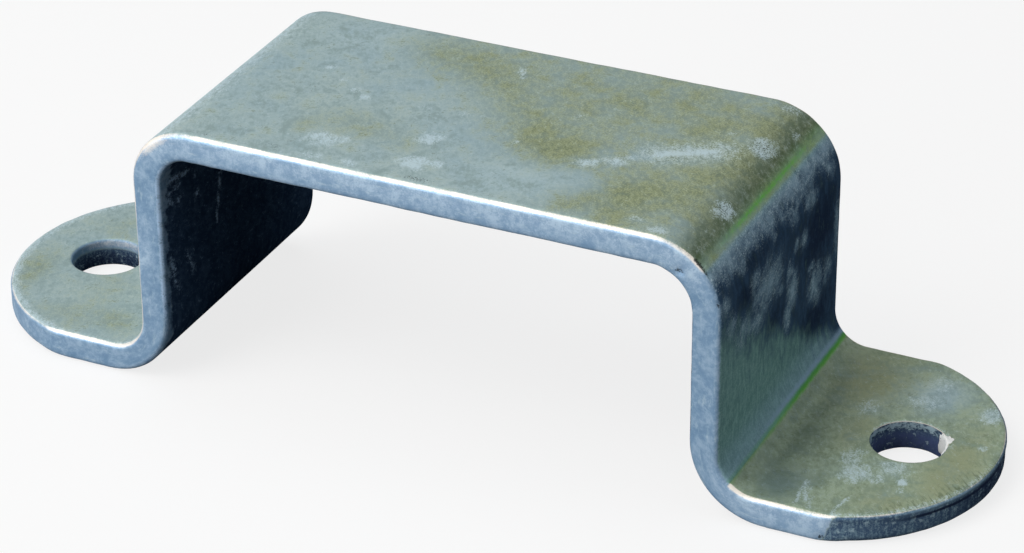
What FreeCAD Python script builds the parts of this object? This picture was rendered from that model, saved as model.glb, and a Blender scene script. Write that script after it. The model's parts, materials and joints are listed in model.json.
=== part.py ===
import FreeCAD, Part
import math
import os

from FreeCAD import Vector

# Square post clamp: a strap of flat bar folded into a hat that fits over one side of the post,
# with a round-ended ear on each side for a bolt.
# Millimetres. X runs from ear to ear, Y across the strap and Z up, from the ears to the crown.
# The origin is midway between the ears, on the plane that they stand on.

# Post
POST_WIDTH = 70.0
POST_CLEARANCE = 1.2  # room left across the post, both sides together
CLAMP_DEPTH = 32.5  # standing plane to the crown's underside

# Flat bar
STRAP_WIDTH = 40.0
STRAP_THICKNESS = 4.0
EDGE_ROUND = 0.7  # radius of the bar's rolled edges, softened by zinc
EDGE_ROUND_SHARE = 0.4  # most of the thickness that one edge round may take

# Folds: the inside radius of each, and what the press drew off the thickness at the ear folds
LEFT_CROWN_FOLD = 4.0
RIGHT_CROWN_FOLD = 5.5
EAR_FOLD = 4.5
LEFT_EAR_THINNING = 0.3
RIGHT_EAR_THINNING = 0.6

# Ears
EAR_FLAT = 9.4  # straight sides, from the fold to the start of the round end
END_RADIUS_EXTRA = 1.0  # the end's radius over half the strap's width, which leaves a slight corner
END_CORNER_ROUND = 1.5  # softening of that corner
BOLT_HOLE_DIAMETER = 10.0  # clears an M8 bolt
BOLT_HOLE_TO_TIP = 11.5  # hole's centre to the ear's tip
HOLE_RIM_BEVEL = 0.4  # pressed-in rim of the punched hole

# Places that follow from the sizes
HALF_INSIDE = (POST_WIDTH + POST_CLEARANCE) / 2
HALF_OUTSIDE = HALF_INSIDE + STRAP_THICKNESS
CROWN_TOP = CLAMP_DEPTH + STRAP_THICKNESS
HALF_WIDTH = STRAP_WIDTH / 2
END_RADIUS = HALF_WIDTH + END_RADIUS_EXTRA
END_START_X = HALF_OUTSIDE + EAR_FOLD + EAR_FLAT
TIP_X = END_START_X + END_RADIUS - math.sqrt(END_RADIUS**2 - HALF_WIDTH**2)
BOLT_X = TIP_X - BOLT_HOLE_TO_TIP

TOLERANCE = 1e-6


def corner_arc(before, corner, after, radius):
    """Start, middle and end of the arc that rounds a corner between two straight runs."""
    back = (before - corner).normalize()
    ahead = (after - corner).normalize()
    half_angle = back.getAngle(ahead) / 2
    inward = (back + ahead).normalize()
    centre = corner + inward * (radius / math.sin(half_angle))
    reach = radius / math.tan(half_angle)
    return corner + back * reach, centre - inward * radius, corner + ahead * reach


def folded_outline(corners):
    """Closed wire in the XZ plane through (x, z, radius) corners, where radius 0 is a sharp one."""
    points = [Vector(x, 0, z) for x, z, radius in corners]
    edges = []
    run_ends = []
    for i, (x, z, radius) in enumerate(corners):
        start = end = points[i]
        if radius:
            next_point = points[(i + 1) % len(points)]
            start, middle, end = corner_arc(points[i - 1], points[i], next_point, radius)
            edges.append(Part.Arc(start, middle, end).toShape())
        run_ends.append((start, end))
    for i, (start, end) in enumerate(run_ends):
        edges.append(Part.LineSegment(run_ends[i - 1][1], start).toShape())
    return Part.Wire(Part.__sortEdges__(edges))


def ear_outside_radius(thinning):
    """Outside radius of a square fold whose middle is thinner than the bar by the given amount."""
    return EAR_FOLD + STRAP_THICKNESS + thinning / (math.sqrt(2) - 1)


def folded_bar():
    """The bar after folding, with its ears still cut square at the tips."""
    upper_side = [
        (-TIP_X, STRAP_THICKNESS, 0),
        (-HALF_OUTSIDE, STRAP_THICKNESS, EAR_FOLD),
        (-HALF_OUTSIDE, CROWN_TOP, LEFT_CROWN_FOLD + STRAP_THICKNESS),
        (HALF_OUTSIDE, CROWN_TOP, RIGHT_CROWN_FOLD + STRAP_THICKNESS),
        (HALF_OUTSIDE, STRAP_THICKNESS, EAR_FOLD),
        (TIP_X, STRAP_THICKNESS, 0),
    ]
    lower_side = [
        (TIP_X, 0, 0),
        (HALF_INSIDE, 0, ear_outside_radius(RIGHT_EAR_THINNING)),
        (HALF_INSIDE, CLAMP_DEPTH, RIGHT_CROWN_FOLD),
        (-HALF_INSIDE, CLAMP_DEPTH, LEFT_CROWN_FOLD),
        (-HALF_INSIDE, 0, ear_outside_radius(LEFT_EAR_THINNING)),
        (-TIP_X, 0, 0),
    ]
    section = Part.Face(folded_outline(upper_side + lower_side))
    section.translate(Vector(0, -HALF_WIDTH, 0))
    return section.extrude(Vector(0, STRAP_WIDTH, 0))


def plan_block():
    """Upright block of the strap's plan: straight sides and a large-radius arc at each end."""
    edges = []
    for side in (-1, 1):
        near = Vector(side * END_START_X, -HALF_WIDTH, 0)
        far = Vector(side * END_START_X, HALF_WIDTH, 0)
        edges.append(Part.Arc(near, Vector(side * TIP_X, 0, 0), far).toShape())
    for y in (-HALF_WIDTH, HALF_WIDTH):
        edges.append(Part.LineSegment(Vector(-END_START_X, y, 0), Vector(END_START_X, y, 0)).toShape())
    plan = Part.Face(Part.Wire(Part.__sortEdges__(edges)))
    block = plan.extrude(Vector(0, 0, CROWN_TOP))
    uprights = [edge for edge in block.Edges if edge.BoundBox.ZLength > CROWN_TOP / 2]
    return block.makeFillet(END_CORNER_ROUND, uprights)


def runs_along_outline(edge, side_wall):
    """True where a broad face of the strap meets its narrow edge, and not across the thickness."""
    middle = (edge.FirstParameter + edge.LastParameter) / 2
    point = edge.valueAt(middle)
    on_wall = side_wall.distToShape(Part.Vertex(point))[0] < TOLERANCE
    across_ear = abs(point.x) > HALF_OUTSIDE + TOLERANCE and abs(edge.tangentAt(middle).z) > 1 - TOLERANCE
    return on_wall and not across_ear


def clamp_strap():
    block = plan_block()
    side_wall = Part.Compound([face for face in block.Faces if face.BoundBox.ZLength > CROWN_TOP / 2])
    strap = folded_bar().common(block)
    outline = [edge for edge in strap.Edges if runs_along_outline(edge, side_wall)]
    largest_round = EDGE_ROUND_SHARE * STRAP_THICKNESS
    strap = strap.makeFillet(min(EDGE_ROUND, largest_round), outline)
    for x in (-BOLT_X, BOLT_X):
        strap = strap.cut(Part.makeCylinder(BOLT_HOLE_DIAMETER / 2, STRAP_THICKNESS, Vector(x, 0, 0)))
    hole_rims = [edge for edge in strap.Edges if edge.isClosed()]
    return strap.makeChamfer(min(HOLE_RIM_BEVEL, largest_round), hole_rims).Solids[0]


os.makedirs("parts", exist_ok=True)
clamp_strap().exportStep("parts/clamp_strap.step")
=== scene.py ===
import json
import math

import bpy
import numpy as np
from mathutils import Matrix, Vector, noise


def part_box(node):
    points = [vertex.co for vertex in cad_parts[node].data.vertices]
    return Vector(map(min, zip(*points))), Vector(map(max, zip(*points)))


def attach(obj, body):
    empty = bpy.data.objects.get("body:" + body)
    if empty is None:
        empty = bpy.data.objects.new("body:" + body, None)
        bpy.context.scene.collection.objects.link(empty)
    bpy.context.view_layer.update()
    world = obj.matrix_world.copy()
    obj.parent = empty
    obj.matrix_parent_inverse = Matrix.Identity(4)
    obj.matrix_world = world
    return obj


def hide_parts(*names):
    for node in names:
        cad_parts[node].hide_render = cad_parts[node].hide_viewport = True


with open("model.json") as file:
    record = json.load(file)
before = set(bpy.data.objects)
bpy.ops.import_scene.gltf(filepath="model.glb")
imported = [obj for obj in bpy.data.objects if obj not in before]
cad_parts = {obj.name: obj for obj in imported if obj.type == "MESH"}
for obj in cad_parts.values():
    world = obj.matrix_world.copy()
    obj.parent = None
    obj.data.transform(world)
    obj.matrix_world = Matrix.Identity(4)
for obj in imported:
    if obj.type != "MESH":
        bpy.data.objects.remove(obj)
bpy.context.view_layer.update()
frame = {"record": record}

# Square post clamp: one galvanised strap, remade as a fine mesh with its zinc coat, stains and wear, and
# with light and shade painted on some of its faces.
# Sizes are millimetres until the mesh is made. X runs from ear to ear, Y across the strap and Z up.
#
# The strap is also followed as the flat bar that it was before folding:
#   along   distance over the outside face from the middle of the crown, positive to the right
#   across  the same as Y
#   depth   0 on the outside face, the bar's thickness on the inside face

MM = 1000  # millimetres in a metre
QUARTER_TURN = math.pi / 2

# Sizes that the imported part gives
MOUNTS = {mount["name"]: mount for mount in frame["record"]["mounts"]}
TIP_X, HALF_WIDTH, CROWN_TOP = (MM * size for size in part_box("clamp_strap")[1])
CROWN_UNDERSIDE = MM * MOUNTS["post_seat"]["pos_m"][2]
HALF_INSIDE = MM * MOUNTS["post_side_right"]["pos_m"][0]
BOLT_X = MOUNTS["bolt_holes"]["dims"]["spacing_x_mm"] / 2
HOLE_RADIUS = MOUNTS["bolt_holes"]["dims"]["hole_r_mm"]
THICKNESS = CROWN_TOP - CROWN_UNDERSIDE
HALF_OUTSIDE = HALF_INSIDE + THICKNESS

# Sizes that repeat the part's source
LEFT_CROWN_FOLD = 4.0
RIGHT_CROWN_FOLD = 5.5
EAR_FOLD = 4.5
LEFT_EAR_THINNING = 0.3
RIGHT_EAR_THINNING = 0.6
EDGE_ROUND = 0.7
END_RADIUS = HALF_WIDTH + 1.0

# Finer sizes of the visual mesh
JOIN_X = 46.0  # where the folded run meets the flat ears
END_CORNER_ROUND = 8.0  # zinc softens the slight corner where a round end starts
END_UPPER_ROUND = 0.45  # the shear left the ends' upper arris sharper than the rolled sides
END_LOWER_ROUND = 1.2  # and rolled their lower arris over
BORE_RADIUS = HOLE_RADIUS - 0.3  # zinc narrows the bolt holes
LEFT_RIM_ROUND = 0.5  # the punch rolled this rim over
RIGHT_RIM_ROUND = 0.15
LOWER_RIM_ROUND = 0.3

# How finely the mesh is divided
CELL = 0.55  # usual distance from point to point
EAR_FOLD_SPACING = 0.7  # rows at an ear fold, as a share of what its outer side would need
ROUND_POINTS = 6  # over an arris or the rim of a hole
SIDE_POINTS = 5  # on a narrow side, between its arrises
WALL_POINTS = 7  # on the wall of a hole, between its rims
CORNER_POINTS = 7  # round the corner where a round end starts
EAR_RINGS = 25  # from a hole's rim to the edge of its ear

# Rows of the UV map, in mm
UV_OUTSIDE = 0
UV_INSIDE = 44
UV_SIDES = {-1: 64, 1: 72}  # front and back
UV_ENDS = 80
UV_BORES = 90
UV_END_START = 5  # distance of an end's strip from the middle of its row
UV_BORE_START = 50  # and of a hole's
UV_LOWEST = -21
UV_SPARE = 1.025  # room at both ends of the rows

# Camera, from the outline of the part in the photograph
IMAGE_WIDTH = 1024
SENSOR_WIDTH = 36.0
FOCAL_PIXELS = 3571.0
CAMERA_AZIMUTH = 25.38
CAMERA_ELEVATION = 29.10
CAMERA_ROLL = -0.43
CAMERA_DISTANCE = 450.0
CAMERA_TARGET = (3.21, 0.0, 14.67)


def smooth(value, low, high):
    """0 below low, 1 above high, with an even S between."""
    t = np.clip((value - low) / (high - low), 0, 1)
    return t * t * (3 - 2 * t)


def fade(value, low, high):
    """1 below low, 0 above high, with an even S between."""
    return 1 - smooth(value, low, high)


def band(value, start, end, soft):
    """1 from start to end, with soft borders."""
    return smooth(value, start - soft, start + soft) * fade(value, end - soft, end + soft)


def bell(value, middle, half_width, power=2):
    """1 at the middle, falling off to both sides; a higher power makes its top flatter."""
    return np.exp(-(((value - middle) / half_width) ** power))


def noise_at(points, size):
    """Noise from -1 to 1, the same in every run, whose lumps are about as large as size, in mm."""
    return np.array([noise.noise(Vector(point)) for point in points / size])


def unit(vectors):
    return vectors / np.linalg.norm(vectors, axis=-1, keepdims=True)


def grid(*values):
    """Arrays and numbers as the columns of one grid."""
    return np.stack(np.broadcast_arrays(*values), axis=-1)


# Mesh


class Patches:
    """Grids of points that together make the skin of the strap."""

    def __init__(self):
        self.columns = {"point": [], "normal": [], "flat": [], "edge": [], "bore": [], "uv": []}
        self.quads = []
        self.count = 0

    def add(self, point, normal, flat, uv, edge=0.0, bore=0.0):
        """One grid of points; edge is 1 on the narrow sides, and bore is 1 in the holes."""
        rows, width = point.shape[:2]
        index = self.count + np.arange(rows * width).reshape(rows, width)
        corners = [index[:-1, :-1], index[1:, :-1], index[1:, 1:], index[:-1, 1:]]
        self.quads.append(grid(*corners).reshape(-1, 4))
        self.count += rows * width
        for name, values in {"point": point, "normal": normal, "flat": flat, "uv": uv}.items():
            self.columns[name].append(values.reshape(rows * width, -1))
        for name, values in {"edge": edge, "bore": bore}.items():
            self.columns[name].append(np.broadcast_to(values, (rows, width)).reshape(-1))

    def welded(self):
        """One value for each point of the skin, its quads with outward normals, and their UV corners."""
        data = {name: np.concatenate(values) for name, values in self.columns.items()}
        quads = np.concatenate(self.quads)
        point = data["point"]
        first, second, third, fourth = (point[corner] for corner in quads.T)
        facing = np.cross(third - first, fourth - second)
        inside_out = (facing * data["normal"][quads].sum(axis=1)).sum(axis=1) < 0
        quads[inside_out] = quads[inside_out][:, ::-1]
        uv = data.pop("uv")[quads]
        _, kept, joined = np.unique(np.round(point, 4), axis=0, return_index=True, return_inverse=True)
        return {name: values[kept] for name, values in data.items()}, joined.reshape(-1)[quads], uv


def run(start, end, length):
    """Points from start to end, about a cell apart over the given length."""
    steps = np.linspace(0, 1, max(2, math.ceil(length / CELL) + 1))[:, None]
    return np.array(start) * (1 - steps) + np.array(end) * steps


def half_section(crown_fold, thinning):
    """In XZ, from the middle of the crown to the right ear: outside, inside and outward direction."""
    outer_fold = crown_fold + THICKNESS
    ear_outer = EAR_FOLD + THICKNESS + thinning / (math.sqrt(2) - 1)
    crown_centre = np.array([HALF_OUTSIDE - outer_fold, CROWN_TOP - outer_fold])
    ear_centre = np.array([HALF_OUTSIDE + EAR_FOLD, THICKNESS + EAR_FOLD])
    ear_outer_centre = np.array([HALF_INSIDE + ear_outer, ear_outer])
    crown_end, leg_top = crown_centre
    ear_start, leg_foot = ear_centre
    leg = leg_top - leg_foot
    ear = JOIN_X - ear_start
    turn = run([0], [QUARTER_TURN], outer_fold * QUARTER_TURN)
    crown_out = np.hstack([np.sin(turn), np.cos(turn)])
    turn = run([0], [QUARTER_TURN], EAR_FOLD_SPACING * ear_outer * QUARTER_TURN)
    ear_out = -np.hstack([np.cos(turn), np.sin(turn)])
    pieces = [
        (
            run([0, CROWN_TOP], [crown_end, CROWN_TOP], crown_end),
            run([0, CROWN_UNDERSIDE], [crown_end, CROWN_UNDERSIDE], crown_end),
            (0, 1),
        ),
        (
            crown_centre + outer_fold * crown_out,
            crown_centre + crown_fold * crown_out,
            crown_out,
        ),
        (
            run([HALF_OUTSIDE, leg_top], [HALF_OUTSIDE, leg_foot], leg),
            run([HALF_INSIDE, leg_top], [HALF_INSIDE, ear_outer], leg),
            (1, 0),
        ),
        (
            ear_centre + EAR_FOLD * ear_out,
            ear_outer_centre + ear_outer * ear_out,
            -ear_out,
        ),
        (
            run([ear_start, THICKNESS], [JOIN_X, THICKNESS], ear),
            run([ear_outer_centre[0], 0], [JOIN_X, 0], ear),
            (0, 1),
        ),
    ]
    outside = np.concatenate([outer[1:] for outer, inner, out in pieces])
    inside = np.concatenate([inner[1:] for outer, inner, out in pieces])
    outward = np.concatenate([np.broadcast_to(out, outer.shape)[1:] for outer, inner, out in pieces])
    return outside, inside, outward


def whole_section():
    """Stations from the left ear to the right one: outside, inside, outward direction and along."""
    right_half = half_section(RIGHT_CROWN_FOLD, RIGHT_EAR_THINNING)
    left_half = half_section(LEFT_CROWN_FOLD, LEFT_EAR_THINNING)
    middles = ([[0, CROWN_TOP]], [[0, CROWN_UNDERSIDE]], [[0, 1]])
    mirror = np.array([-1, 1])
    outside, inside, outward = (
        np.concatenate([left[::-1] * mirror, middle, right])
        for left, middle, right in zip(left_half, middles, right_half)
    )
    steps = np.linalg.norm(np.diff(outside, axis=0), axis=1)
    along = np.concatenate([[0], np.cumsum(steps)])
    return outside, inside, outward, along - along[len(left_half[0])]


def edge_profile(upper, lower, straight_points):
    """Over a narrow side or down a hole's wall, from the outside face to the inside face.

    Gives how far each point stands back from the side, its depth, and its normal's turn from the outside
    face. The arrises are rounds of the given radii.
    """
    turn = np.linspace(0, QUARTER_TURN, ROUND_POINTS)
    share = np.linspace(0, 1, straight_points + 2)[1:-1]
    straight = upper + (THICKNESS - upper - lower) * share
    inset = np.concatenate([upper * (1 - np.sin(turn)), 0 * share, lower * (1 - np.cos(turn))])
    depth = np.concatenate([upper * (1 - np.cos(turn)), straight, THICKNESS - lower * (1 - np.sin(turn))])
    angle = np.concatenate([turn, 0 * share + QUARTER_TURN, QUARTER_TURN + turn])
    return inset, depth, angle


def ear_outline():
    """Plan of the right ear's edge from front join to back join.

    Gives its points, their outward directions, and 1 where the bar was sheared off.
    """
    end_centre = np.array([TIP_X - END_RADIUS, 0])
    small_y = HALF_WIDTH - END_CORNER_ROUND
    small_x = math.sqrt((END_RADIUS - END_CORNER_ROUND) ** 2 - small_y**2)
    corner_centre = end_centre + np.array([small_x, -small_y])
    corner_x = corner_centre[0]
    straight = run([JOIN_X, -HALF_WIDTH], [corner_x, -HALF_WIDTH], corner_x - JOIN_X)
    swing = math.atan2(small_x, small_y)
    turn = np.linspace(0, swing, CORNER_POINTS)[1:, None]
    corner_out = np.hstack([np.sin(turn), -np.cos(turn)])
    sweep = QUARTER_TURN - swing
    turn = run([-sweep], [0], END_RADIUS * sweep)[1:]
    end_out = np.hstack([np.cos(turn), np.sin(turn)])
    corner = corner_centre + END_CORNER_ROUND * corner_out
    end = end_centre + END_RADIUS * end_out
    point = np.concatenate([straight, corner, end])
    outward = np.concatenate([np.broadcast_to((0, -1), straight.shape), corner_out, end_out])
    mirror = np.array([1, -1])
    point = np.concatenate([point, point[-2::-1] * mirror])
    outward = np.concatenate([outward, outward[-2::-1] * mirror])
    sheared = smooth(point[:, 0], corner_x - 1.0, corner_x + 4.0)
    return point, outward, sheared


def with_y(section, across):
    """XZ stations and Y columns as one grid of points."""
    return grid(section[:, :1], across, section[:, 1:])


def add_folded_run(patches, across):
    """The bar from ear to ear; returns where along the bar it ends on the right and on the left."""
    outside, inside, outward, along = whole_section()
    for section, direction, depth, uv_row in (
        (outside, outward, 0.0, UV_OUTSIDE),
        (inside, -outward, THICKNESS, UV_INSIDE),
    ):
        flat = grid(along[:, None], across, depth)
        normal = with_y(direction, 0 * across)
        patches.add(with_y(section, across), normal, flat, flat[..., :2] + (0, uv_row))

    inset, depth, angle = edge_profile(EDGE_ROUND, EDGE_ROUND, SIDE_POINTS)
    through = np.clip((depth - EDGE_ROUND) / (THICKNESS - 2 * EDGE_ROUND), 0, 1)[None, :, None]
    lift = np.maximum(EDGE_ROUND - depth, 0) + np.minimum(THICKNESS - EDGE_ROUND - depth, 0)
    outer_core = (outside - EDGE_ROUND * outward)[:, None, :]
    inner_core = (inside + EDGE_ROUND * outward)[:, None, :]
    section = outer_core * (1 - through) + inner_core * through
    section = section + outward[:, None, :] * lift[None, :, None]
    out_x = outward[:, :1] * np.cos(angle)
    out_z = outward[:, 1:] * np.cos(angle)
    for side in (-1, 1):
        y = side * (HALF_WIDTH - inset)
        point = grid(section[..., 0], y, section[..., 1])
        normal = grid(out_x, side * np.sin(angle), out_z)
        uv = grid(along[:, None], UV_SIDES[side] + depth)
        patches.add(point, normal, grid(along[:, None], y, depth), uv, edge=np.sin(angle))
    return along[-1], along[0]


def add_ear(patches, side, across, along_at_join):
    """One ear with its round end and bolt hole; side is -1 for the left ear."""
    outline, outward, sheared = ear_outline()
    upper_round = EDGE_ROUND + (END_UPPER_ROUND - EDGE_ROUND) * sheared
    lower_round = EDGE_ROUND + (END_LOWER_ROUND - EDGE_ROUND) * sheared
    upper_rim = LEFT_RIM_ROUND if side < 0 else RIGHT_RIM_ROUND
    bolt = np.array([BOLT_X, 0])

    def solid(plan, depth):
        """Points of a plan at a depth, on this ear and on the flat bar."""
        x, y = plan[..., 0], plan[..., 1]
        return grid(side * x, y, THICKNESS - depth), grid(along_at_join + side * (x - JOIN_X), y, depth)

    # Edge of the ear
    profiles = [edge_profile(upper, lower, SIDE_POINTS) for upper, lower in zip(upper_round, lower_round)]
    inset, depth, angle = (np.array(rows) for rows in zip(*profiles))
    point, flat = solid(outline[:, None, :] - outward[:, None, :] * inset[..., None], depth)
    out_x = side * outward[:, :1] * np.sin(angle)
    out_y = outward[:, 1:] * np.sin(angle)
    steps = np.linalg.norm(np.diff(outline, axis=0), axis=1)
    length = np.concatenate([[0], np.cumsum(steps)])[:, None]
    uv = grid(side * (UV_END_START + length), UV_ENDS + depth)
    patches.add(point, grid(out_x, out_y, np.cos(angle)), flat, uv, edge=np.sin(angle))

    # Broad faces, as rings round the hole
    join = grid(JOIN_X, across[-2::-1])
    share = np.linspace(0, 1, EAR_RINGS)[:, None, None]
    spoke = unit(np.concatenate([outline - outward * upper_round[:, None], join]) - bolt)
    for rim, edge_round, face_depth, up, uv_row in (
        (upper_rim, upper_round, 0.0, 1, UV_OUTSIDE),
        (LOWER_RIM_ROUND, lower_round, THICKNESS, -1, UV_INSIDE),
    ):
        border = np.concatenate([outline - outward * edge_round[:, None], join])
        start = bolt + spoke * (BORE_RADIUS + rim)
        point, flat = solid(start * (1 - share) + border * share, face_depth)
        patches.add(point, np.broadcast_to((0, 0, up), point.shape), flat, flat[..., :2] + (0, uv_row))

    # Wall of the hole
    profile = edge_profile(upper_rim, LOWER_RIM_ROUND, WALL_POINTS)
    inset, depth, angle = (column[:, None] for column in profile)
    point, flat = solid(bolt + spoke * (BORE_RADIUS + inset[..., None]), depth)
    in_x = -side * spoke[:, 0] * np.sin(angle)
    in_y = -spoke[:, 1] * np.sin(angle)
    bearing = np.unwrap(np.arctan2(spoke[:, 1], spoke[:, 0]))
    uv = grid(side * (UV_BORE_START + BORE_RADIUS * (bearing - bearing[0])), UV_BORES + depth)
    patches.add(point, grid(in_x, in_y, np.cos(angle)), flat, uv, bore=np.sin(angle))


patches = Patches()
inner_half = HALF_WIDTH - EDGE_ROUND
columns = np.linspace(-inner_half, inner_half, math.ceil(2 * inner_half / CELL) + 1)
right_join, left_join = add_folded_run(patches, columns)
add_ear(patches, 1, columns, right_join)
add_ear(patches, -1, columns, left_join)
skin, quads, corner_uv = patches.welded()

flat = skin["flat"]
along, across, depth = flat.T
edge, bore = skin["edge"], skin["bore"]

# Relief: all of it goes inwards from the part's own faces, except the chipped zinc at the right hole

PITS = [  # along, across, depth, radius, how deep
    (36.2, -20.0, 2.6, 0.45, 0.35),
    (35.5, -20.0, 2.7, 0.30, 0.20),
    (36.6, -19.5, 0.1, 0.35, 0.15),
    (37.1, -19.5, 0.1, 0.40, 0.20),
    (37.6, -19.5, 0.1, 0.35, 0.20),
    (38.3, -19.5, 0.1, 0.40, 0.25),
    (38.8, -19.5, 0.1, 0.35, 0.20),
    (40.5, -19.8, 0.3, 0.25, 0.20),
    (41.0, -19.8, 0.2, 0.25, 0.20),
    (42.9, -19.9, 0.3, 0.30, 0.20),
    (53.0, -20.0, 2.2, 0.25, 0.15),
    (79.3, -20.0, 3.2, 0.50, 0.40),
]
SHEAR_START = 6.9  # where the cut face of an end starts in X, past the centre of the end's radius
SHEAR_SLANT = 0.35  # how much earlier it starts for each millimetre of depth
SHEAR_STEP = 0.10  # the right end's cut face stands back below its lip
SHEAR_STEP_DEPTH = (0.45, 0.7)  # and steps back between these depths
SHEAR_ROUGHNESS = 0.03
BORE_ROUGHNESS = 0.05
COAT_WAVES = 0.035  # slow waves of the zinc coat
COAT_GRAIN = 0.006
ARRIS_WEAR = 0.05
CHIP_BEARINGS = (-12, 56)  # in degrees round the right hole, from the ear's tip
CHIP_NARROWS = 46  # from this bearing on, the chip's upper border drops
CHIP_DROP = 0.65
CHIP_FOOT = (2.8, 3.3)  # the chip fades out between these depths
CHIP_RISE = 0.08  # how far the chip stands up from the zinc around it
CHIP_RISE_IN_HOLE = 0.2  # and how much further on the hole's wall
CHIP_LUMPS = 0.12
TAIL_BEARINGS = (20, 38)  # a tail of the chip lies on the face
TAIL_REACH = 0.65


def bumps(size):
    """Noise from 0 to 2 over the strap."""
    return 1 + noise_at(flat, size)


reach_x = np.abs(skin["point"][:, 0])
is_right = along > 0
is_left = ~is_right
arris = 4 * edge * (1 - edge)
end_start_x = TIP_X - END_RADIUS + SHEAR_START
end_face = edge * smooth(reach_x + SHEAR_SLANT * depth, end_start_x, end_start_x + 0.6)
sheared = end_face * is_right
from_bolt = np.hypot(reach_x - BOLT_X, across)
bearing = np.degrees(np.arctan2(across, reach_x - BOLT_X))
rough_bearing = bearing + 3 * noise_at(flat, 0.9)

chip_top = CHIP_DROP * smooth(bearing, CHIP_NARROWS, CHIP_BEARINGS[1])
wall_chip = bore * band(rough_bearing, *CHIP_BEARINGS, 2)
wall_chip = wall_chip * smooth(depth, chip_top - 0.1, chip_top + 0.1) * fade(depth, *CHIP_FOOT)
tail = band(rough_bearing, *TAIL_BEARINGS, 8)
tail_end = BORE_RADIUS + 0.15 + TAIL_REACH * tail
tail = (depth < 0.1) * tail * fade(from_bolt, tail_end - 0.15, tail_end + 0.1)
chip = is_right * np.maximum(wall_chip, tail)

relief = COAT_WAVES * bumps(13) + COAT_GRAIN * bumps(1.7)
relief += arris * ARRIS_WEAR * bumps(2.3)
relief += sheared * (SHEAR_STEP * smooth(depth, *SHEAR_STEP_DEPTH) + SHEAR_ROUGHNESS * bumps(0.8))
relief += bore * is_right * BORE_ROUGHNESS * bumps(0.9)
pit = np.zeros(len(along))
for *centre, radius, deep in PITS:
    hollow = bell(np.linalg.norm(flat - centre, axis=1), 0, radius)
    relief += deep * hollow
    pit = np.maximum(pit, hollow)
relief -= chip * (CHIP_RISE + CHIP_RISE_IN_HOLE * bore + CHIP_LUMPS * noise_at(flat, 0.6))
point = skin["point"] - unit(skin["normal"]) * relief[:, None]

mesh = bpy.data.meshes.new("galvanised_strap")
mesh.from_pydata((point / MM).tolist(), [], quads.tolist())
mesh.polygons.foreach_set("use_smooth", np.ones(len(quads), bool))
half_uv = UV_SPARE * np.abs(along).max()
uv_map = mesh.uv_layers.new(name="OFBake")
uv = (corner_uv + (half_uv, -UV_LOWEST)) / (2 * half_uv)
uv_map.data.foreach_set("uv", uv.astype(np.float32).ravel())

# Where each finish and each painted light or shade lies, as values from 0 to 1 on the mesh

STAINS = [  # ochre on the outside face: along, across, half length, half width, strength
    (-14.0, 15.0, 4.5, 4.0, 0.30),
    (-8.5, 12.5, 6.5, 5.0, 0.40),
    (-2.0, 8.5, 5.0, 4.0, 0.26),
    (3.5, 3.0, 4.6, 4.4, 0.24),
    (8.5, -2.5, 4.6, 4.6, 0.36),
    (12.5, -5.5, 4.2, 3.4, 0.30),
    (22.5, -13.5, 4.6, 5.4, 0.32),
    (27.5, -10.5, 4.5, 4.0, 0.28),
    (31.0, -6.0, 3.2, 6.0, 0.24),
    (15.0, 11.0, 8.0, 6.0, 0.18),
    (25.0, 15.0, 5.0, 4.0, 0.18),
    (27.0, 8.0, 4.0, 3.5, 0.24),
    (33.4, 2.0, 2.6, 7.0, 0.35),
    (33.4, 14.5, 2.6, 4.5, 0.38),
    (10.5, -13.5, 6.0, 4.5, -0.40),
    (17.0, -10.5, 3.5, 3.5, -0.30),
    (-25.0, 14.0, 5.0, 5.0, -0.15),
    (-14.0, -8.0, 6.0, 3.2, 0.30),
    (-20.0, -11.0, 1.6, 2.4, 0.25),
    (-7.0, -10.5, 4.0, 2.4, 0.20),
    (-90.6, -7.0, 2.4, 5.0, 0.45),
    (-74.6, -14.6, 4.0, 3.0, 0.40),
    (-82.0, -15.4, 3.6, 2.2, 0.25),
    (-86.0, 8.0, 3.4, 3.0, 0.20),
    (-79.0, -7.0, 5.0, 4.0, 0.15),
    (72.5, -14.0, 3.0, 4.5, -0.25),
    (76.5, 6.0, 2.4, 3.0, -0.25),
    (83.0, 12.0, 4.5, 5.0, -0.80),
    (79.5, -9.0, 2.4, 2.4, -0.30),
    (83.5, -6.5, 2.0, 2.0, -0.30),
    (90.5, 10.0, 1.8, 2.0, -0.30),
]
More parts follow.
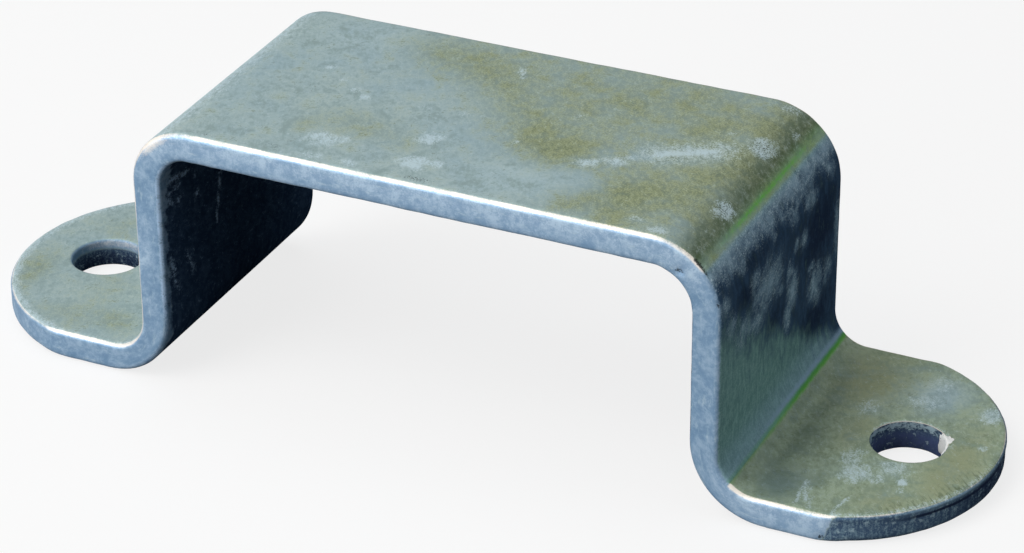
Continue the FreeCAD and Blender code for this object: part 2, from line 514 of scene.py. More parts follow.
SPOTS = [  # pale zinc salts on the outside face: along, across, half length, half width, strength
    (33.6, 7.4, 2.0, 2.9, 0.66),
    (35.2, -8.3, 1.6, 2.3, 0.72),
    (29.3, 8.3, 0.7, 0.6, 0.60),
    (35.8, 14.0, 0.6, 1.1, 0.50),
    (33.0, 18.2, 2.0, 1.2, 0.45),
    (30.6, -18.2, 1.6, 1.0, 0.70),
    (27.4, -16.8, 1.4, 1.0, 0.40),
    (16.2, -6.2, 1.6, 1.2, 0.75),
    (19.2, -4.6, 1.5, 1.2, 0.75),
    (-3.8, -8.3, 1.9, 1.8, 0.75),
    (-2.8, -14.8, 2.2, 2.0, 0.85),
    (-0.2, -14.0, 1.2, 1.2, 0.65),
    (-15.6, -13.6, 2.8, 1.9, 0.65),
    (-13.2, -12.8, 1.0, 1.2, 0.60),
    (-15.0, -18.2, 2.0, 0.8, 0.55),
    (-10.0, -18.0, 1.3, 1.0, 0.65),
    (-18.2, 0.0, 0.9, 0.8, 0.60),
    (-16.3, -1.4, 1.1, 0.8, 0.65),
    (-21.2, 2.0, 0.6, 0.6, 0.60),
    (-24.4, 4.6, 0.8, 0.9, 0.60),
    (-8.0, -0.6, 1.0, 0.8, 0.35),
    (-3.0, -0.4, 1.2, 0.8, 0.35),
    (10.2, 4.6, 0.6, 1.2, 0.40),
    (6.2, -4.6, 0.4, 0.8, 0.55),
    (79.6, -9.4, 2.2, 2.6, 0.62),
    (78.0, -6.2, 1.5, 2.8, 0.50),
    (82.2, -9.6, 1.8, 1.2, 0.45),
    (83.6, -6.6, 2.4, 1.8, 0.48),
    (85.6, -9.2, 0.9, 0.9, 0.85),
    (86.0, -10.8, 0.6, 0.9, 0.50),
    (75.8, 5.6, 1.6, 2.4, 0.40),
    (81.8, 9.4, 2.4, 2.6, 0.40),
    (82.4, 14.6, 2.2, 2.4, 0.35),
    (90.4, 9.8, 1.7, 2.4, 0.58),
    (91.7, 2.2, 0.7, 0.8, 0.65),
]
STREAKS = [  # pale marks on the outside face: from, to, half width, strength
    ((23.4, -0.5), (29.0, 2.9), 0.95, 1.20),
    ((22.8, -0.8), (29.8, 3.4), 2.80, 0.60),
    ((15.4, -6.6), (20.4, -2.8), 0.80, 0.55),
    ((-2.0, 14.4), (-0.6, 11.8), 0.35, 0.80),
    ((75.4, -18.6), (75.0, -13.4), 0.30, 0.70),
    ((76.2, -17.6), (75.8, -14.6), 0.30, 0.65),
    ((77.2, -19.0), (76.6, -16.4), 0.30, 0.60),
    ((80.0, -18.8), (80.8, -15.0), 0.30, 0.60),
]
LEG_CLOUDS = [  # paler zinc on the right leg: along, across, half length, half width, strength
    (47.6, -5.0, 3.0, 4.2, 0.80),
    (45.0, -9.0, 1.4, 1.9, 0.60),
    (51.0, -8.4, 1.4, 2.4, 0.70),
    (50.6, -0.6, 0.7, 0.7, 0.70),
    (49.4, 2.2, 1.8, 1.1, 0.60),
    (52.6, 3.4, 2.4, 1.7, 0.85),
    (55.6, 1.8, 2.2, 1.2, 0.70),
    (46.8, 4.2, 1.0, 0.9, 0.60),
    (47.2, 6.8, 1.2, 1.1, 0.70),
    (55.2, 11.2, 2.2, 2.4, 0.75),
    (57.4, 12.0, 1.6, 1.6, 0.60),
    (55.8, 15.4, 1.8, 1.8, 0.50),
    (52.6, 9.8, 0.8, 1.2, 0.55),
    (43.8, -18.4, 1.4, 1.2, 0.65),
    (47.0, -16.6, 1.6, 1.6, 0.55),
    (50.0, -13.0, 2.4, 3.0, 0.45),
    (42.0, -2.4, 0.9, 0.9, 0.55),
    (42.2, 3.6, 1.6, 1.8, 0.55),
    (42.8, 9.4, 1.3, 2.4, 0.60),
    (41.6, 16.4, 1.4, 2.0, 0.55),
    (51.0, 18.6, 4.5, 1.0, 0.55),
]
LEG_DARKEST_SHADE = [  # the darkest painted shade on the right leg: along, across, half length, half width, strength
    (45.4, -12.2, 1.6, 2.6, 0.60),
    (48.4, 12.4, 4.6, 5.6, 0.70),
    (60.8, 11.6, 2.6, 5.0, 0.65),
    (53.4, -2.6, 1.6, 3.0, 0.40),
    (42.2, -7.5, 1.4, 5.0, 0.30),
]
EAR_SHADE_MARKS = [  # painted shade on the right ear by the leg: along, across, half length, half width, strength
    (72.4, -15.5, 3.4, 5.2, 0.78),
    (75.4, -13.0, 2.4, 4.0, 0.42),
    (71.4, -3.0, 1.8, 4.5, 0.32),
    (68.3, -2.0, 1.0, 18.0, 0.40),
    (70.6, 15.0, 2.4, 5.0, 0.25),
]
YELLOWED = [  # yellower stain on the right ear: along, across, half length, half width, strength
    (74.0, 12.0, 6.0, 9.0, 0.90),
    (90.0, -4.0, 4.6, 12.0, 0.85),
    (76.5, 0.0, 3.0, 6.0, 0.70),
    (85.0, -14.0, 4.5, 4.5, 0.70),
]
INNER_SCUFFS = [  # on the left leg's inside face: from, to, half width, strength
    ((-49.0, -4.8), (-56.0, -6.4), 0.25, 0.80),
    ((-44.4, -18.4), (-45.2, -13.0), 0.45, 0.60),
    ((-46.3, -17.6), (-46.1, -14.9), 0.35, 0.60),
    ((-46.8, -18.4), (-48.0, -17.0), 0.50, 0.60),
    ((-48.3, -15.6), (-48.0, -15.2), 0.45, 0.65),
    ((-49.7, -11.2), (-49.4, -10.8), 0.50, 0.65),
    ((-46.8, -11.4), (-46.4, -11.0), 0.40, 0.50),
    ((-55.8, -18.2), (-58.0, -17.4), 0.70, 0.50),
    ((-59.4, -17.4), (-60.6, -16.6), 0.60, 0.45),
    ((-57.0, -14.0), (-60.0, -12.6), 0.60, 0.35),
]
SOIL = [  # dark specks: along, across, half length, half width, strength
    (-0.6, -18.4, 2.6, 0.7, 1.00),
    (-20.2, -17.8, 1.8, 0.6, 0.80),
    (-29.5, -18.6, 1.6, 0.6, 0.80),
    (-26.0, -18.4, 1.2, 0.5, 0.70),
    (33.6, 7.4, 1.8, 2.4, 0.72),
    (35.2, -8.3, 1.5, 2.0, 0.80),
]
UPPER_GREEN = 37.65  # along, the green line in the right crown fold
LOWER_GREEN = 67.15  # and the one in the right ear fold
LEG_TOP = (37.8, 39.3)  # along, where the painted shade on the right leg's outside sets in
LEG_FOOT = (66.9, 67.4)  # and where it ends
EAR_REFLECTION_START = 56.6  # along, at the middle of the right leg, where the painted reflection of the ear on its greenish lower part starts
EAR_REFLECTION_SLOPE = 0.565  # and how that border falls from front to back
LIP_DEPTH = 1.1  # of the dark line below the right end's lip


def blob(centre_along, centre_across, half_length, half_width):
    """A mark with a soft border."""
    return bell(along, centre_along, half_length) * bell(across, centre_across, half_width)


def disc(centre_along, centre_across, half_length, half_width):
    """A mark with a ragged border."""
    reach = np.hypot((along - centre_along) / half_length, (across - centre_across) / half_width)
    return fade(reach + 0.35 * lumps, 0.45, 1.3)


def stroke(start, end, half_width):
    """A straight mark with a soft border."""
    line = np.subtract(end, start)
    place = flat[:, :2] - start
    share = np.clip(place @ line / (line @ line), 0, 1)
    return bell(np.linalg.norm(place - share[:, None] * line, axis=1), 0, half_width)


def strongest(marks, shape):
    """The strongest of several marks at each point, where a mark ends with its strength."""
    return np.max([strength * shape(*place) for *place, strength in marks], axis=0)


lumps = noise_at(flat, 1.3)
uneven = 1.6 * noise_at(flat, 3.5)
outside = fade(depth, 0.2, 0.9)
inside = smooth(depth, THICKNESS - 0.9, THICKNESS - 0.2)
from_end = END_RADIUS - np.hypot(reach_x - TIP_X + END_RADIUS, across)
# upper wall of the left hole, painted pale like the rolled edges: a painted highlight on its rolled-over
# rim
left_rim = bore * is_left * fade(depth, 0.7, 2.2)
right_rim = (bore > 0) * is_right * fade(depth, 0.08, 0.25) * smooth(across, -1, 2)

# Right leg: painted shade on its outside, and painted reflections of the ear on its lower part and of the
# ear fold at its foot
right_leg = outside * smooth(along, *LEG_TOP) * fade(along, *LEG_FOOT)
# border of the painted reflection of the ear on the leg's lower part
past_border = along - EAR_REFLECTION_SLOPE * across - EAR_REFLECTION_START + 0.7 * lumps + 0.6 * uneven
border_softness = 2.2 + 3.4 * smooth(-across, -4, 14)
below_border = right_leg * smooth(past_border / border_softness, -1, 1)
# paler top of the right leg, where its painted shade fades out up the crown fold
leg_top_painted_light = 0.9 - smooth(along + uneven, 39.2, 43.6)
# painted reflection, lavender, over the leg's foot and in the ear fold
leg_foot_reflection = 0.45 * below_border * smooth(along, 57.0, 66.8) ** 2.2
ear_fold_reflection = 0.8 * band(along, 66.1, 68.0, 0.5) * smooth(across, -26, 2)

# Stain, salts and green lines on the outside face, with a painted sheen on the left crown fold and a
# painted highlight along the left end
crown_right_half = smooth(along + 0.6 * across, -8, 14)
right_ear = smooth(along, 66, 68)
left_ear = smooth(-along, 66, 70)
ochre = 0.14 + 0.38 * crown_right_half + 0.42 * right_ear + 0.04 * left_ear
ochre += sum(strength * blob(*place) for *place, strength in STAINS)
# painted sheen on the left crown fold, and a painted highlight along the left end
left_fold_sheen = band(-along, 34, 42, 2.5)
left_end_highlight = is_left * (reach_x > HALF_OUTSIDE) * fade(from_end, 0.4, 2.2)
behind_right_hole = is_right * fade(from_bolt, 4.9, 5.6) * smooth(across, -1, 2)
right_end_front = is_right * smooth(-across, -2, 6) * smooth(reach_x, end_start_x - 2, end_start_x)
right_end_front = right_end_front * fade(from_end, 0.5, 1.5)
salts_and_sheen = np.max([
    strongest(SPOTS, disc),
    strongest(STREAKS, stroke),
    0.65 * left_fold_sheen,
    0.70 * left_end_highlight,
    0.45 * behind_right_hole,
    0.50 * right_end_front,
], axis=0)
green_core = bell(along, UPPER_GREEN, 0.40) * (0.10 + 0.90 * bell(across, 1, 13, power=4))
green_tinge = 0.30 * band(along, 36.8, 38.7, 0.8) * (0.45 + 0.55 * smooth(across, -16, 8))
# Short dark strokes at the front of the right end
comb = is_right * fade(from_end, 0.5, 4) * smooth(-across, -4, 6) * smooth(along, 80, 88)

# Edges, holes and worn arrises: painted shade on the rolled edges, painted highlights on the upper
# arrises, the left crown fold's corner and the left hole's rim, and painted light on the left leg's inner
# arris
# painted shade on the rolled edges, over the left leg and ear and the right leg and towards the inside
# face, with a lighter patch on the left leg
left_edge_shade = 0.9 * smooth(-along, 36, 44) - 0.6 * bell(along, -54, 4)
right_edge_shade = 0.9 * band(along, 40, 66, 3)
lower_edge_shade = 0.8 * smooth(depth, 1.4, 3.4)
# worn upper arrises, with a painted highlight on them, on the left crown fold's corner and on the left
# hole's rim
upper_arris = smooth(edge, 0.05, 0.35) * fade(edge, 0.9, 1.0) * (depth < THICKNESS / 2)
arris_wear_and_highlight = upper_arris * (1 - 0.7 * sheared) * (1 - right_leg) * (0.80 + 0.4 * noise_at(flat, 5))
arris_wear_and_highlight = arris_wear_and_highlight * (1 - 0.35 * end_face * is_left)
fold_corner_highlight = 0.8 * edge * bell(along, -37, 4.5) * fade(depth, 0.6, 2.4)
left_rim_highlight = 0.6 * left_rim * smooth(across, -3, 3)
inner_front = -across + 1.6 * lumps + 1.4 * bell(along, -42, 5)
frayed = inside * smooth(inner_front, 17.2, 19.6) * smooth(-along, 30, 38)
# painted light on the left leg's inner front arris, which lies in shade
inner_arris = smooth(edge, 0.15, 0.75) * smooth(depth, THICKNESS - 0.8, THICKNESS - 0.35) * (across < 0)
inner_arris_light = inner_arris * smooth(-along, 34, 40) * fade(-along, 58, 68) * (0.75 + 0.5 * lumps)
bore_shade = bore * (0.6 + 0.4 * smooth(depth, 1.5, 2.5))
bore_flakes = bore * band(depth, 0.1, 1.1, 0.35) * smooth(bearing % 360, 50, 70)
end_flakes = 0.35 * sheared * band(depth, 0.7, 2.2, 0.4) * fade(across, -12, -2)
metal = 0.25 + 0.2 * edge + 0.1 * arris_wear_and_highlight
metal -= 0.22 * right_leg + 0.25 * inside + 0.42 * sheared + 0.2 * bore + chip

finish = {
    # Broad faces, with painted shade over the right crown fold and on the right ear by the leg, and a
    # painted sheen and highlight among the pale salts
    "ochre": outside * ochre + 0.25 * inside,
    "khaki": outside * smooth(along, 66.5, 68.0),
    "yellowed": outside * strongest(YELLOWED, blob),
    "umber_fold_shade": outside * smooth(along, 32.0, 36.2) * fade(along, 36.6, 38.2),
    "ear_shade": outside * strongest(EAR_SHADE_MARKS, blob),
    "salts_and_sheen": outside * np.maximum(salts_and_sheen, fold_corner_highlight),
    "comb": outside * comb,
    "green": outside * np.maximum(green_core, green_tinge),
    "green_line": outside * band(along, 66.2, 68.2, 0.4) * (0.30 + 0.70 * smooth(across, -16, 6)),
    # Right leg's outside: painted shade, pale clouds, a paler top, and painted reflections of the ear and
    # of the ear fold
    "leg": right_leg,
    "painted_leg_shade": 0.35 + strongest(LEG_DARKEST_SHADE, blob),
    "clouds_and_lit_top": outside * np.maximum(1.2 * strongest(LEG_CLOUDS, blob), leg_top_painted_light),
    "ear_reflection": below_border * (0.66 + 0.34 * smooth(past_border, 0, 9)),
    "fold_reflection": np.maximum(leg_foot_reflection, ear_fold_reflection),
    # Legs' inside: painted shade, and pale scuffs
    "inner": inside * band(np.abs(along), 36, 70, 3),
    "scuff": inside * strongest(INNER_SCUFFS, stroke),
    # Rolled edges, and the left hole's upper wall painted pale as a highlight; painted shade on the legs
    # and low on the edges, and painted light on the left leg's inner arris
    "mill": np.max([edge * (1 - sheared), left_rim, 0.85 * frayed], axis=0),
    "edge_shade": left_edge_shade + right_edge_shade + lower_edge_shade,
    "inner_arris_light": inner_arris_light,
    # Right end's cut face and the holes, with painted shade towards the back of the cut face and deeper
    # in the holes
    "slate": np.maximum(sheared, bore - left_rim),
    "deep": np.maximum(sheared * smooth(across, -13, -3), bore_shade),
    "violet": is_right * bore * smooth(depth, 1.0, 1.9),
    "flake": is_right * np.maximum(bore_flakes, end_flakes),
    "lip": sheared * smooth(across, -17, -13) * (1 - 0.6 * smooth(across, -6, 4)),
    "chip": chip,
    # All over: worn arrises and rims with painted highlights, dirt, pits and metal
    "wear_and_highlight": np.max([arris_wear_and_highlight, fold_corner_highlight, right_rim, left_rim_highlight], axis=0),
    "soil": outside * strongest(SOIL, blob),
    "pit": pit,
    "metal": metal,
}
for name, values in finish.items():
    attribute = mesh.attributes.new(name, "FLOAT", "POINT")
    attribute.data.foreach_set("value", np.clip(values, 0, 1).astype(np.float32))
flat_bar = mesh.attributes.new("flat_bar", "FLOAT_VECTOR", "POINT")
flat_bar.data.foreach_set("vector", flat.astype(np.float32).ravel())

strap = bpy.data.objects.new("galvanised_strap", mesh)
bpy.context.collection.objects.link(strap)
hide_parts("clamp_strap")
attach(strap, "root")

# Material


def paint(red, green, blue):
    """A colour picked on a screen, from 0 to 255, as the shader takes it."""
    return tuple(((v / 255 + 0.055) / 1.055) ** 2.4 for v in (red, green, blue)) + (1.0,)


# Colours of the broad faces; the darker grey and the umber also paint shade, and the bloom white also a
# sheen and highlight
ZINC_DULL = paint(140, 160, 159)
ZINC_PALE = paint(177, 198, 204)
ZINC_BLUE = paint(152, 178, 192)
OCHRE = paint(155, 163, 124)
OLIVE = paint(104, 115, 86)
KHAKI = paint(127, 142, 114)
KHAKI_PALE = paint(158, 174, 151)
AMBER = paint(142, 145, 104)
EAR_SHADE_GREY = paint(102, 122, 118)
UMBER = paint(78, 92, 64)
BLOOM_AND_SHEEN = paint(192, 212, 220)
GREEN = paint(92, 170, 62)

# Colours of the legs: painted shade on the right leg's outside with pale clouds, painted reflections of
# the ear in teal and of the ear fold in lavender, and painted shade on the legs' inside
SHADE_DARK = paint(32, 48, 72)
SHADE_MID = paint(64, 90, 116)
SHADE_PALE = paint(164, 192, 208)
LAVENDER_REFLECTION = paint(172, 202, 226)
EAR_REFLECTION_TEAL = paint(120, 156, 153)
EAR_REFLECTION_PALE = paint(152, 192, 185)
INNER_SHADE_DARK = paint(46, 68, 96)
INNER_SHADE_MID = paint(70, 94, 122)

# Colours of the edges, the holes and the right end, of wear with painted highlights, and of dirt; the
# rolled edges' blue stands in for a cool light from the front, and their dullest blue is painted shade
MILL_PALE = paint(184, 206, 224)
MILL_SHADE = paint(142, 170, 198)
MILL_IN_SHADE = paint(116, 148, 178)
SLATE = paint(84, 108, 136)
SLATE_PALE = paint(148, 178, 194)
SLATE_DARK = paint(36, 48, 74)
BORE_SHADE = paint(84, 98, 140)
FLAKE = paint(184, 208, 218)
SCUFF_AND_ARRIS_LIGHT = paint(186, 214, 242)
WORN_ZINC_AND_HIGHLIGHT = paint(247, 237, 226)
CHIP_WHITE = paint(255, 255, 252)
DIRT = paint(34, 38, 38)


class Nodes:
    """Short calls for the nodes of one material or world."""

    def __init__(self, owner):
        owner.use_nodes = True
        self.tree = owner.node_tree

    def put(self, socket, value):
        if isinstance(value, bpy.types.NodeSocket):
            self.tree.links.new(value, socket)
        else:
            socket.default_value = value

    def node(self, kind, inputs, **settings):
        node = self.tree.nodes.new("ShaderNode" + kind)
        for name, value in settings.items():
            setattr(node, name, value)
        for name, value in inputs.items():
            self.put(node.inputs[name], value)
        return node

    def mask(self, name):
        return self.node("Attribute", {}, attribute_name=name).outputs["Fac"]

    def stretch(self, place, scale, turn=0.0):
        """A place turned about the bar's depth and then scaled, to draw a pattern out one way."""
        inputs = {"Vector": place, "Angle": turn}
        turned = self.node("VectorRotate", inputs, rotation_type="Z_AXIS").outputs[0]
        return self.node("VectorMath", {0: turned, 1: scale}, operation="MULTIPLY").outputs[0]

    def noise(self, place, scale, detail, roughness, distortion=0.0):
        inputs = {"Vector": place, "Scale": scale, "Detail": detail, "Roughness": roughness}
        return self.node("TexNoise", inputs | {"Distortion": distortion}).outputs[0]

    def math(self, operation, first, second):
        return self.node("Math", {0: first, 1: second}, operation=operation).outputs[0]

    def times(self, first, second):
        return self.math("MULTIPLY", first, second)

    def larger(self, first, second):
        return self.math("MAXIMUM", first, second)

    def away(self, value, middle):
        """How far a value is from the middle, on either side."""
        return self.math("ABSOLUTE", self.math("SUBTRACT", value, middle), 0.0)

    def blend(self, first, share, second):
        """A weighted mean of two patterns, with share of the first."""
        return self.math("ADD", self.times(first, share), self.times(second, 1 - share))

    def spread(self, value, pattern, reach):
        """A value whose border follows a pattern around 0.5."""
        return self.math("ADD", value, self.times(self.math("SUBTRACT", pattern, 0.5), reach))

    def ramp(self, value, low, high, to_low=0.0, to_high=1.0):
        inputs = {"Value": value, "From Min": low, "From Max": high, "To Min": to_low, "To Max": to_high}
        return self.node("MapRange", inputs, interpolation_type="SMOOTHSTEP").outputs[0]

    def ragged(self, name, pattern, low, high, reach, most=1.0):
        """What share a mask takes, up to most, with a border that follows a pattern."""
        return self.ramp(self.spread(self.mask(name), pattern, reach), low, high, 0.0, most)

    def mix(self, share, under, over):
        return self.node("Mix", {0: share, 6: under, 7: over}, data_type="RGBA").outputs[2]

    def hair(self, place, breaks):
        """Thin curved lines, broken up by another pattern."""
        lines = self.noise(place, scale=1.2, detail=1, roughness=0.5, distortion=0.8)
        return self.times(self.ramp(self.away(lines, 0.5), 0.035, 0.0), self.ramp(breaks, 0.48, 0.58))

    def background_rays(self):
        """1 for rays that see the background straight, in a reflection or through glass."""
        path = self.node("LightPath", {}).outputs
        straight_or_glossy = self.larger(path["Is Camera Ray"], path["Is Glossy Ray"])
        return self.larger(straight_or_glossy, path["Is Transmission Ray"])


steel = bpy.data.materials.new("galvanised_steel")
mesh.materials.append(steel)
zinc = Nodes(steel)

# Patterns on the flat bar
bar = zinc.node("Attribute", {}, attribute_name="flat_bar").outputs["Vector"]
bar_axes = zinc.node("SeparateXYZ", {0: bar}).outputs
cloud = zinc.noise(bar, scale=0.075, detail=3, roughness=0.5)
patchy = zinc.noise(bar, scale=0.22, detail=4, roughness=0.6, distortion=0.4)
mottle = zinc.noise(bar, scale=0.45, detail=8, roughness=0.72, distortion=0.3)
grain = zinc.noise(zinc.stretch(bar, (1.0, 0.5, 1.0), -0.44), scale=1.5, detail=6, roughness=0.72)
speck = zinc.noise(bar, scale=4.6, detail=3, roughness=0.6)
streak = zinc.noise(zinc.stretch(bar, (0.4, 1, 1)), scale=0.8, detail=7, roughness=0.7, distortion=0.3)
fine_streak = zinc.noise(zinc.stretch(bar, (0.25, 1, 1)), scale=1.8, detail=4, roughness=0.68)
shear_marks = zinc.noise(zinc.stretch(bar, (1, 1, 0.12)), scale=2.4, detail=4, roughness=0.7)
bristles = zinc.noise(zinc.stretch(bar, (0.22, 1, 1), math.pi / 4), scale=2.6, detail=3, roughness=0.65)
mixed = zinc.blend(mottle, 0.5, grain)
fine = zinc.blend(grain, 0.5, speck)
patchy_grain = zinc.blend(patchy, 0.4, grain)
pale_hair = zinc.hair(zinc.stretch(bar, (0.7, 1.3, 1), 0.5), grain)
dark_hair = zinc.hair(zinc.stretch(bar, (0.7, 1.3, 1), -0.7), mottle)


def stain_colour():
    """Ochre and olive on the crown and left ear, khaki and amber on the right ear."""
    colour = zinc.mix(zinc.ramp(zinc.blend(mottle, 0.25, fine), 0.41, 0.57), OLIVE, OCHRE)
    khaki = zinc.mix(zinc.ramp(patchy_grain, 0.40, 0.60), KHAKI, KHAKI_PALE)
    colour = zinc.mix(zinc.mask("khaki"), colour, khaki)
    yellowed = zinc.ragged("yellowed", patchy_grain, 0.05, 1.3, reach=3.0, most=0.85)
    return zinc.mix(yellowed, colour, AMBER)


def broad_face_colour():
    """Weathered zinc with stain, darker patches that are painted shade (over the right crown fold and on
    the right ear by the leg), fine lines, and pale salts with a painted sheen on the left crown fold and
    a painted highlight along the left end.
    """
    colour = zinc.mix(zinc.ramp(zinc.blend(patchy, 0.35, mixed), 0.40, 0.60), ZINC_DULL, ZINC_PALE)
    blue = zinc.ramp(zinc.blend(cloud, 0.5, mixed), 0.44, 0.60, 0.0, 0.40)
    colour = zinc.mix(blue, colour, ZINC_BLUE)
    stained = zinc.ragged("ochre", zinc.blend(patchy, 0.45, mixed), -0.05, 1.05, reach=3.2, most=0.94)
    colour = zinc.mix(stained, colour, stain_colour())
    # painted shade on the right ear next to the leg's foot
    colour = zinc.mix(zinc.ragged("ear_shade", mixed, 0.0, 1.0, reach=2.8, most=0.85), colour, EAR_SHADE_GREY)
    # painted shade: darker umber over the right crown fold, where it turns away from the lamps
    umber_fold_shade = zinc.times(zinc.mask("umber_fold_shade"), zinc.ramp(mixed, 0.38, 0.6, 0.95, 0.55))
    colour = zinc.mix(umber_fold_shade, colour, UMBER)
    colour = zinc.mix(zinc.times(pale_hair, 0.22), colour, BLOOM_AND_SHEEN)
    colour = zinc.mix(zinc.times(dark_hair, 0.45), colour, OLIVE)
    salts = zinc.ragged("salts_and_sheen", fine, 0.15, 1.0, reach=4.0, most=0.78)
    salts = zinc.times(salts, zinc.ramp(zinc.mask("salts_and_sheen"), 0.0, 0.3, 0.4, 1.0))
    colour = zinc.mix(salts, colour, BLOOM_AND_SHEEN)
    comb = zinc.times(zinc.mask("comb"), zinc.ramp(bristles, 0.5, 0.4, 0.0, 0.6))
    return zinc.mix(comb, colour, UMBER)


def right_leg_shade_and_reflection():
    """Painted shade on the zinc, darkest in places, with pale clouds and specks, a paler top where the
    shade fades up the fold, a painted reflection of the ear on the greenish lower part and a painted
    reflection in the ear fold.
    """
    painted_leg_shade = zinc.ragged("painted_leg_shade", zinc.blend(streak, 0.6, fine), 0.0, 1.0, reach=4.5)
    colour = zinc.mix(painted_leg_shade, SHADE_MID, SHADE_DARK)
    ear_reflection = zinc.mix(zinc.ramp(zinc.blend(fine_streak, 0.4, fine), 0.42, 0.60), EAR_REFLECTION_TEAL, EAR_REFLECTION_PALE)
    colour = zinc.mix(zinc.ragged("ear_reflection", streak, 0.0, 1.0, reach=1.5), colour, ear_reflection)
    clouds_and_lit_top = zinc.ragged("clouds_and_lit_top", zinc.blend(mottle, 0.5, fine), -0.10, 1.45, reach=4.6, most=0.95)
    clouds_and_lit_top = zinc.times(clouds_and_lit_top, zinc.ramp(zinc.mask("clouds_and_lit_top"), 0.0, 0.4, 0.15, 1.0))
    colour = zinc.mix(clouds_and_lit_top, colour, SHADE_PALE)
    specks = zinc.times(zinc.ramp(fine, 0.51, 0.62, 0.0, 0.9), zinc.ramp(zinc.mask("clouds_and_lit_top"), 0.0, 0.7))
    colour = zinc.mix(specks, colour, BLOOM_AND_SHEEN)
    return zinc.mix(zinc.ragged("fold_reflection", fine, 0.0, 1.0, reach=0.8, most=0.9), colour, LAVENDER_REFLECTION)


# Painted shade on the legs' inside faces, with pale scuffs
def shaded_inner_leg_colour():
    colour = zinc.mix(zinc.ramp(mixed, 0.42, 0.62), INNER_SHADE_DARK, INNER_SHADE_MID)
    return zinc.mix(zinc.ragged("scuff", fine, 0.15, 0.8, reach=3.0, most=0.9), colour, SCUFF_AND_ARRIS_LIGHT)


def green_in_folds():
    """What share green takes: a soft band in the crown fold and a line in the ear fold."""
    soft_band = zinc.times(zinc.mask("green"), zinc.ramp(fine, 0.36, 0.58, 0.35, 0.95))
    off_line = zinc.away(zinc.spread(bar_axes["X"], mixed, 0.8), LOWER_GREEN)
    line = zinc.times(zinc.ramp(off_line, 0.60, 0.05, 0.0, 0.90), zinc.mask("green_line"))
    return zinc.larger(line, soft_band)


# Rolled edges, painted bluer than the broad faces as a stand-in for a cool light from the front
def rolled_edge_colour():
    colour = zinc.mix(zinc.ramp(zinc.blend(mottle, 0.6, fine), 0.41, 0.59), MILL_SHADE, MILL_PALE)
    edge_shade = zinc.times(zinc.mask("edge_shade"), zinc.ramp(mixed, 0.36, 0.64, 0.95, 0.45))
    colour = zinc.mix(edge_shade, colour, MILL_IN_SHADE)
    colour = zinc.mix(zinc.ramp(fine_streak, 0.55, 0.70, 0.0, 0.45), colour, BLOOM_AND_SHEEN)
    return zinc.mix(zinc.ragged("inner_arris_light", fine, 0.1, 0.8, reach=1.5), colour, SCUFF_AND_ARRIS_LIGHT)


def cut_face_colour():
    """The sheared end with its lip, and the walls of the holes."""
    colour = zinc.mix(zinc.ramp(zinc.blend(shear_marks, 0.4, fine), 0.45, 0.62), SLATE, SLATE_PALE)
    # painted shade: darker towards the back of the right end's cut face and deeper in the holes
    deep = zinc.times(zinc.mask("deep"), zinc.ramp(fine, 0.35, 0.65, 1.0, 0.6))
    colour = zinc.mix(deep, colour, SLATE_DARK)
    violet = zinc.times(zinc.mask("violet"), zinc.ramp(grain, 0.38, 0.62, 0.95, 0.60))
    colour = zinc.mix(violet, colour, BORE_SHADE)
    colour = zinc.mix(zinc.ragged("flake", grain, 0.35, 1.05, reach=5.0, most=0.85), colour, FLAKE)
    lip_depth = zinc.spread(bar_axes["Z"], mixed, 0.5)
    off_lip = zinc.away(lip_depth, LIP_DEPTH)
    lip = zinc.times(zinc.mask("lip"), zinc.ramp(off_lip, 0.30, 0.08, 0.0, 0.95))
    colour = zinc.mix(lip, colour, SLATE_DARK)
    above_lip = zinc.times(zinc.mask("lip"), zinc.ramp(lip_depth, LIP_DEPTH - 0.2, 0.2, 0.0, 0.5))
    return zinc.mix(above_lip, colour, SLATE_PALE)


def chip_colour():
    return zinc.mix(zinc.ramp(speck, 0.36, 0.30, 0.0, 0.7), CHIP_WHITE, SLATE)


def dark_specks():
    """What share dirt takes: in soiled places, in the pits and in a few single specks."""
    soil = zinc.ragged("soil", speck, 0.8, 1.2, reach=-4.0, most=0.7)
    pits = zinc.ragged("pit", speck, 0.4, 0.8, reach=1.4, most=0.9)
    return zinc.larger(zinc.larger(soil, pits), zinc.ramp(speck, 0.27, 0.20, 0.0, 0.5))


# Layers of colour, each over the ones before it
colour = broad_face_colour()
leg_share = zinc.ragged("leg", zinc.blend(streak, 0.5, fine), 0.1, 0.7, reach=1.2)
colour = zinc.mix(leg_share, colour, right_leg_shade_and_reflection())
colour = zinc.mix(zinc.ragged("inner", mixed, 0.15, 0.85, reach=1.2), colour, shaded_inner_leg_colour())
colour = zinc.mix(green_in_folds(), colour, GREEN)
colour = zinc.mix(zinc.ragged("mill", fine, 0.35, 0.85, reach=1.2), colour, rolled_edge_colour())
colour = zinc.mix(zinc.ragged("slate", fine, 0.3, 0.7, reach=0.8), colour, cut_face_colour())
# worn zinc on the arrises and hole rims, with a painted highlight on the upper arrises, the left crown
# fold's corner and the left hole's rim
colour = zinc.mix(zinc.ragged("wear_and_highlight", fine, 0.4, 0.95, reach=0.9, most=0.9), colour, WORN_ZINC_AND_HIGHLIGHT)
colour = zinc.mix(zinc.ragged("chip", speck, 0.35, 0.6, reach=0.6), colour, chip_colour())
colour = zinc.mix(dark_specks(), colour, DIRT)

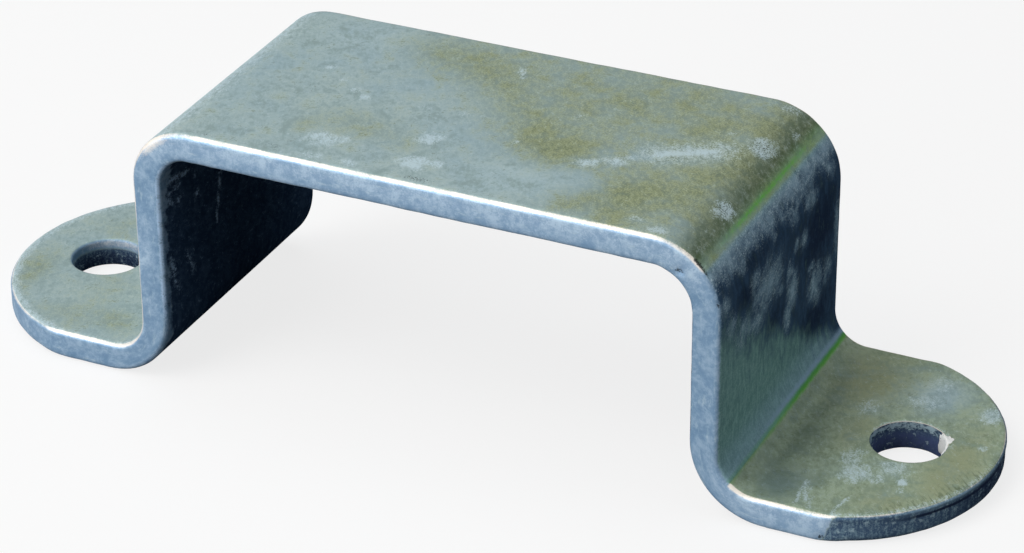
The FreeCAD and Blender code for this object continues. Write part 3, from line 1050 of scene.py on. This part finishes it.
height = zinc.math("ADD", zinc.times(grain, 0.030), zinc.times(mottle, 0.025))
height = zinc.math("ADD", height, zinc.times(speck, 0.012))
shader = zinc.tree.nodes["Principled BSDF"]
for name, value in {
    "Base Color": colour,
    "Metallic": zinc.mask("metal"),
    "Roughness": zinc.ramp(mixed, 0.3, 0.7, 0.38, 0.58),
    "Specular IOR Level": 0.0,
    "Normal": zinc.node("Bump", {"Strength": 0.6, "Distance": 0.001, "Height": height}).outputs[0],
}.items():
    zinc.put(shader.inputs[name], value)

# Floor and light

FLOOR_REACH = 4.0  # in metres
FLOOR_SHOWN = 0.8  # share of the floor that is plain white where the camera or a reflection sees it
FLOOR_BOUNCE = (0.12, 0.12, 0.12, 1)  # how much light the floor gives back to the part
FLOOR_COVER = (0.9, 0.9, 0.9, 1)
WHITE = (1, 1, 1, 1)
SKY_TINT = (0.74, 0.87, 1.0, 1)
SKY_LEVEL = 0.06

floor_corners = [(x * FLOOR_REACH, y * FLOOR_REACH, 0) for x, y in ((-1, -1), (1, -1), (1, 1), (-1, 1))]
floor_mesh = bpy.data.meshes.new("floor")
floor_mesh.from_pydata(floor_corners, [], [(0, 1, 2, 3)])
floor = bpy.data.objects.new("floor", floor_mesh)
bpy.context.collection.objects.link(floor)
floor_mesh.materials.append(bpy.data.materials.new("floor"))
ground = Nodes(floor_mesh.materials[0])
floor_seen = ground.background_rays()
floor_colour = ground.mix(floor_seen, FLOOR_BOUNCE, FLOOR_COVER)
cover = ground.node("BsdfDiffuse", {"Color": floor_colour}).outputs[0]
white = ground.node("Emission", {"Color": WHITE, "Strength": 1.0}).outputs[0]
white_share = ground.times(floor_seen, FLOOR_SHOWN)
shown = ground.node("MixShader", {0: white_share, 1: cover, 2: white}).outputs[0]
ground.put(ground.tree.nodes["Material Output"].inputs["Surface"], shown)

world = bpy.data.worlds.new("studio")
bpy.context.scene.world = world
sky = Nodes(world)
sky_seen = sky.background_rays()
sky_light = sky.tree.nodes["Background"].inputs
sky.put(sky_light["Color"], sky.mix(sky_seen, SKY_TINT, WHITE))
sky.put(sky_light["Strength"], sky.ramp(sky_seen, 0, 1, SKY_LEVEL, 1.0))


def lamp(name, direction, distance, size, brightness, tint):
    """A soft square lamp that lights a white face turned to it to the given brightness."""
    light = bpy.data.objects.new(name, bpy.data.lights.new(name, "AREA"))
    light.data.energy = brightness * (math.pi * distance) ** 2
    light.data.size = size
    light.data.color = tint
    light.location = Vector(direction).normalized() * distance
    light.rotation_euler = (-light.location).to_track_quat("-Z", "Y").to_euler()
    bpy.context.collection.objects.link(light)


lamp("key", (-0.375, -0.485, 0.79), distance=0.8, size=0.5, brightness=0.52, tint=(1.0, 0.98, 0.95))
lamp("top", (-0.2, 0.15, 0.97), distance=0.9, size=0.7, brightness=0.30, tint=(1.0, 1.0, 1.0))
lamp("front", (-0.5, -0.82, 0.28), distance=0.8, size=0.5, brightness=0.48, tint=(0.92, 0.96, 1.0))
lamp("side", (0.95, 0.0, 0.32), distance=0.9, size=0.5, brightness=0.14, tint=(0.8, 0.91, 1.0))

# Camera

azimuth, elevation, roll = np.radians((CAMERA_AZIMUTH, CAMERA_ELEVATION, CAMERA_ROLL)).tolist()
level_back = math.cos(elevation)
back = Vector((math.sin(azimuth) * level_back, -math.cos(azimuth) * level_back, math.sin(elevation)))
level_right = Vector((math.cos(azimuth), math.sin(azimuth), 0))
level_up = back.cross(level_right)
right = math.cos(roll) * level_right + math.sin(roll) * level_up
up = math.cos(roll) * level_up - math.sin(roll) * level_right
place = (Vector(CAMERA_TARGET) + back * CAMERA_DISTANCE) / MM
camera = bpy.data.objects.new("camera", bpy.data.cameras.new("camera"))
bpy.context.collection.objects.link(camera)
camera.data.sensor_width = SENSOR_WIDTH
camera.data.lens = FOCAL_PIXELS / IMAGE_WIDTH * SENSOR_WIDTH
camera.matrix_world = Matrix.Translation(place) @ Matrix((right, up, back)).transposed().to_4x4()
bpy.context.scene.camera = camera
bpy.context.scene.view_settings.view_transform = "Standard"
